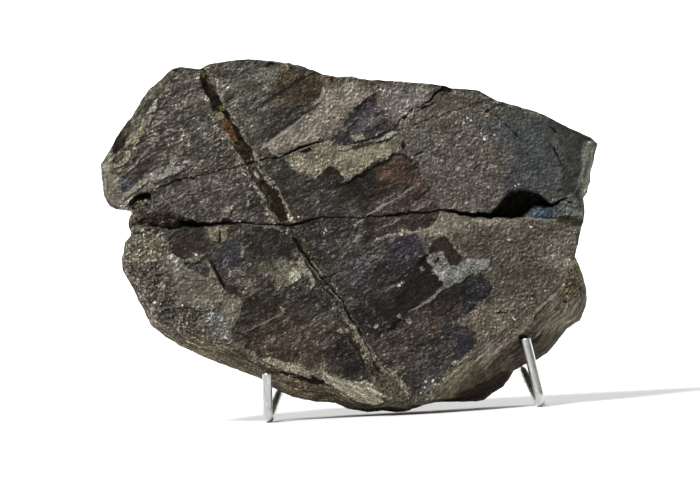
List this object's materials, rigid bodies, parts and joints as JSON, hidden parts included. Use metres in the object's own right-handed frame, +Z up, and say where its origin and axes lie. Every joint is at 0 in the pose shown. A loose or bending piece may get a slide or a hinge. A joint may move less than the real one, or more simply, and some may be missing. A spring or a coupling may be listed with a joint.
{
  "type": "fossil leaf plate on a rod stand",
  "caption": "Broken rock slab with a pinnate fossil leaf across its split face, leaning back on a small bent steel rod stand with front hooks and a rear leg.",
  "frame": {"origin": "middle of the footprint's box, on the table that the three feet stand on", "axes": "+Z up, the fossil face towards -Y and leaning back, +X to the right of someone who looks at the face"},
  "size_m": [0.2535, 0.1572, 0.1849],
  "materials": {
    "fossil_rock": "matte",
    "brushed_steel": "satin"
  },
  "bodies": {
    "root": {"fossil_plate": "fossil_rock", "left_arm": "brushed_steel", "right_arm": "brushed_steel", "rear_leg": "brushed_steel"}
  },
  "joints": []
}
